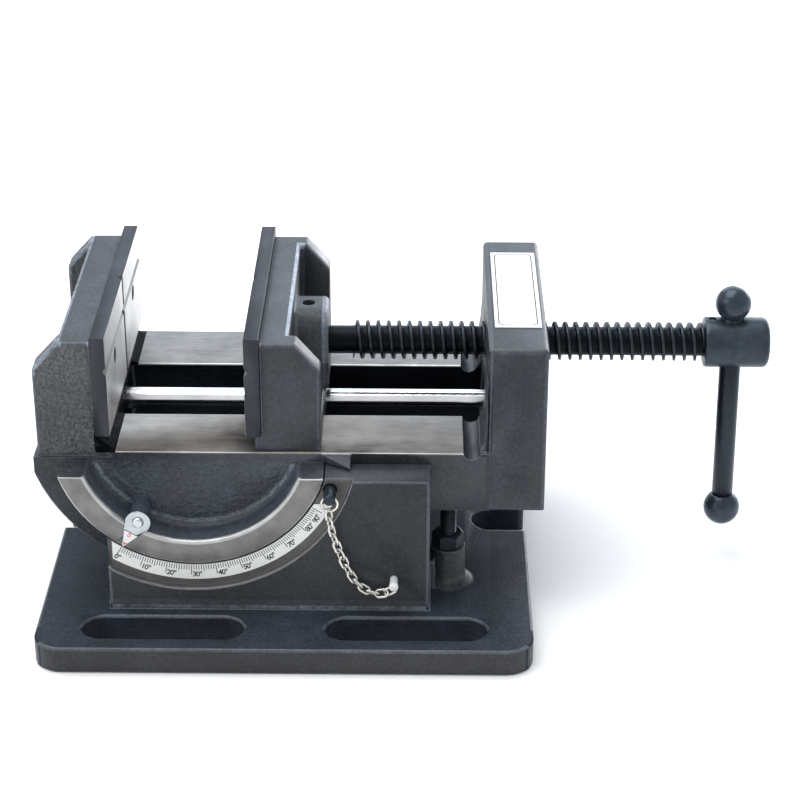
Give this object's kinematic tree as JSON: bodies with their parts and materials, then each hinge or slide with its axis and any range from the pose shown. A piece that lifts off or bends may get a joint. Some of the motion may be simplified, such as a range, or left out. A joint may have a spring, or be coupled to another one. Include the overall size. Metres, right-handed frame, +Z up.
{
  "type": "tilting machine vise",
  "caption": "Tilting machine vise: slotted base and cradle, vise body that swings 0 to 90 degrees with a scale and pointer, screw-driven jaw, locating pin on a chain.",
  "frame": {"origin": "centre of the base plate's underside", "axes": "+Z up from the table, +X along the bed from the fixed jaw to the screw's handle, the graduated side faces -Y; the tilt axis is parallel to Y"},
  "size_m": [0.2597, 0.181, 0.1071],
  "materials": {
    "cast_paint": "sand-cast iron under a thin charcoal paint, with ground ways and ring",
    "jaw_steel": "blackened steel with a ground gripping face",
    "black_oxide": "oiled black oxide, semi-gloss",
    "bright_steel": "polished round bar",
    "plated_steel": "bright plated",
    "scale_white": "white plate with printed black graduations and plain numbers",
    "label_white": "blank white label with a thin dark border line"
  },
  "bodies": {
    "base": {"base_casting": "cast_paint", "angle_scale": "scale_white", "chain_peg": "plated_steel", "pin_chain": "plated_steel", "level_stop_nut": "black_oxide", "ring_clamp": "black_oxide", "clamp_washer": "plated_steel"},
    "tilting_body": {"vise_body": "cast_paint", "fixed_jaw_plate": "jaw_steel", "fixed_plate_screw_front": "black_oxide", "fixed_plate_screw_rear": "black_oxide", "guide_rod": "bright_steel", "rod_grub_screw": "black_oxide", "angle_pointer": "plated_steel", "pointer_rivet": "plated_steel", "label_plate": "label_white"},
    "moving_jaw": {"moving_jaw_casting": "cast_paint", "moving_jaw_plate": "jaw_steel", "moving_plate_screw_front": "black_oxide", "moving_plate_screw_rear": "black_oxide", "screw_keeper_pin": "black_oxide"},
    "screw": {"feed_screw": "black_oxide", "screw_head": "black_oxide", "head_pin": "black_oxide"},
    "handle": {"handle_bar": "black_oxide", "handle_ball_top": "black_oxide", "handle_ball_bottom": "black_oxide"},
    "pin": {"locating_pin": "black_oxide", "pin_split_ring": "plated_steel"},
    "lock_bolt": {"clamp_bolt": "black_oxide"},
    "level_stop": {"level_stop_screw": "black_oxide"}
  },
  "joints": [
    {"name": "tilt", "type": "hinge", "parent": "base", "child": "tilting_body", "pos_m": [-0.032, 0, 0.074], "axis": [0, -1, 0], "range_deg": [0, 90]},
    {"name": "jaw_slide", "type": "slide", "parent": "tilting_body", "child": "moving_jaw", "axis": [1, 0, 0], "range_m": [-0.0465, 0.05]},
    {"name": "screw_turn", "type": "hinge", "parent": "moving_jaw", "child": "screw", "pos_m": [0, 0, 0.084], "axis": [1, 0, 0], "range_deg": [-4465, 4801]},
    {"name": "handle_slide", "type": "slide", "parent": "screw", "child": "handle", "axis": [0, 0.1045, 0.9945], "range_m": [0, 0.05]},
    {"name": "pin_slide", "type": "slide", "parent": "base", "child": "pin", "axis": [0, 1, 0], "range_m": [-0.012, 0.0045]},
    {"name": "lock_bolt_turn", "type": "hinge", "parent": "base", "child": "lock_bolt", "pos_m": [0.00271, 0.07, 0.03263], "axis": [0, 1, 0], "range_deg": [0, 90]},
    {"name": "level_stop_slide", "type": "slide", "parent": "base", "child": "level_stop", "axis": [0, 0, 1], "range_m": [-0.004, 0]}
  ],
  "couplings": [
    {"joint": "screw_turn", "follows": "jaw_slide", "rad_per_m": 1675.5}
  ]
}
